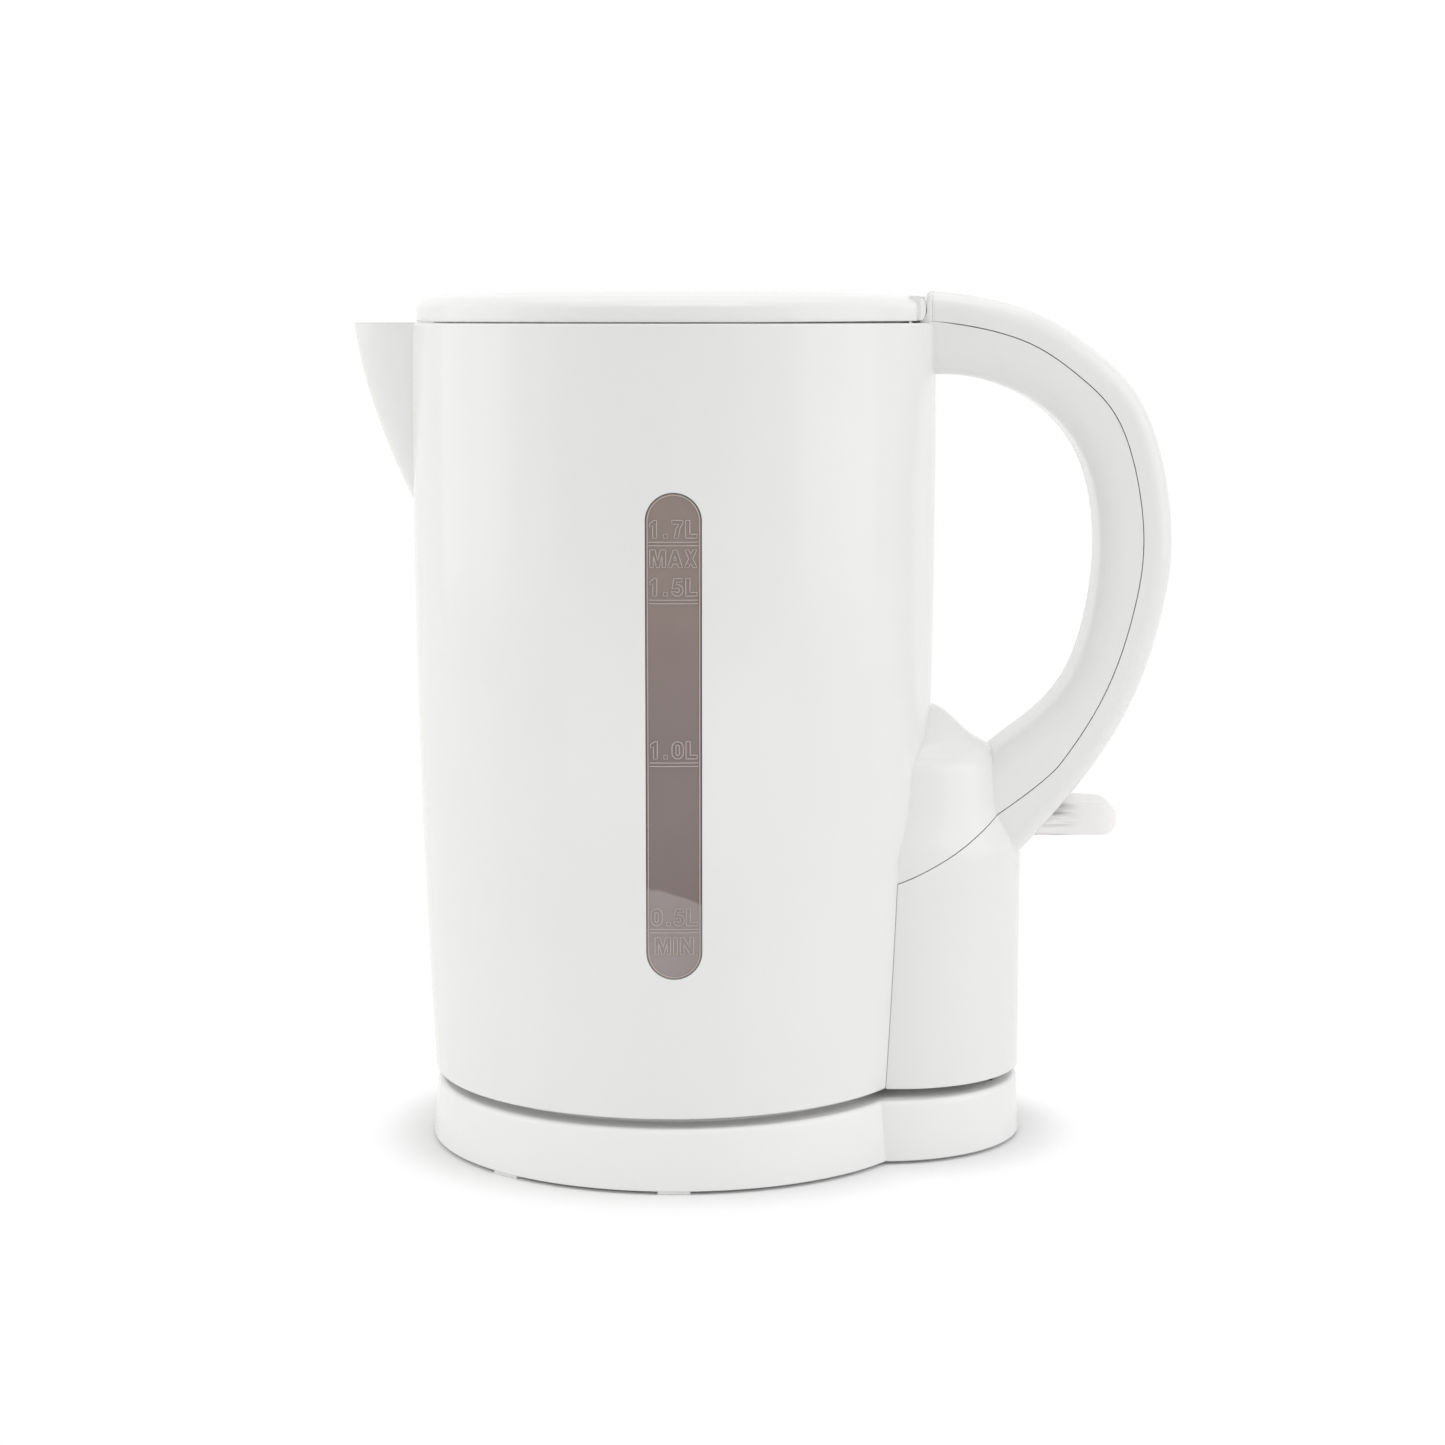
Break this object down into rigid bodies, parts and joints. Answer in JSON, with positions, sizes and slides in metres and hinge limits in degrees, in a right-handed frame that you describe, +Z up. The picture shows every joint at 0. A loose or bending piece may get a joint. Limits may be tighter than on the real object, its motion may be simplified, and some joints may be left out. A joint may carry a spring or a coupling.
{
  "type": "electric kettle",
  "caption": "Cordless jug kettle with a hinged lid, a side level window, a loop handle with a rocker switch, and a lift-off power base.",
  "frame": {"origin": "on the table, in the middle of the kettle's footprint box", "axes": "+Z up; spout to -X, handle to +X, level window to -Y"},
  "size_m": [0.2091, 0.1342, 0.2195],
  "materials": {
    "white_plastic": "glossy, smooth",
    "white_inner_plastic": "satin",
    "window_plastic": "glossy, smoked, see-through",
    "switch_plastic": "glossy, milky, see-through",
    "lamp_glass": "clear",
    "foot_rubber": "matt",
    "seal_rubber": "matt",
    "black_plastic": "satin",
    "steel": "zinc plated",
    "element_steel": "brushed",
    "brass": "plain"
  },
  "bodies": {
    "base": {"base_shell": "white_plastic", "base_bottom_plate": "white_inner_plastic", "base_feet": "foot_rubber", "base_screws": "steel", "cord_gland": "white_plastic", "cord_clamp": "white_plastic", "cord_clamp_screws": "steel", "socket_housing": "black_plastic", "socket_contacts": "brass", "socket_earth_contact": "brass"},
    "kettle": {"jug_body": "white_plastic", "level_window": "window_plastic", "window_gasket": "seal_rubber", "handle_cover": "white_plastic", "bottom_cover": "white_inner_plastic", "bottom_cover_screws": "steel", "filter_frame": "white_inner_plastic", "filter_mesh": "element_steel", "heating_element": "element_steel", "element_flange": "element_steel", "element_terminals": "element_steel", "element_gasket": "seal_rubber", "control_body": "black_plastic", "control_screws": "steel", "dry_boil_discs": "brass", "steam_bimetal": "brass", "control_contacts": "brass", "connector_blades": "brass", "connector_earth_pin": "brass", "switch_bracket": "black_plastic", "switch_pivot_pin": "steel", "hinge_bracket": "white_plastic", "hinge_screws": "steel"},
    "trip": {"trip_rod": "white_inner_plastic"},
    "switch": {"switch_lever": "switch_plastic", "neon_lamp": "lamp_glass"},
    "lid": {"lid_cover": "white_plastic", "lid_liner": "white_plastic", "lid_hinge_pin": "steel"}
  },
  "joints": [
    {"name": "kettle_lift", "type": "slide", "parent": "base", "child": "kettle", "axis": [0, 0, 1], "range_m": [0, 0.12]},
    {"name": "lid_hinge", "type": "hinge", "parent": "kettle", "child": "lid", "pos_m": [0.03733, 0, 0.2149], "axis": [0, 1, 0], "range_deg": [0, 80]},
    {"name": "switch", "type": "hinge", "parent": "kettle", "child": "switch", "pos_m": [0.05735, 0, 0.0843], "axis": [0, 1, 0], "range_deg": [0, 12]},
    {"name": "trip_rod", "type": "slide", "parent": "kettle", "child": "trip", "axis": [0, 0, 1], "range_m": [0, 0.0014]}
  ],
  "couplings": [
    {"joint": "trip_rod", "follows": "switch", "m_per_rad": 0.0065}
  ]
}
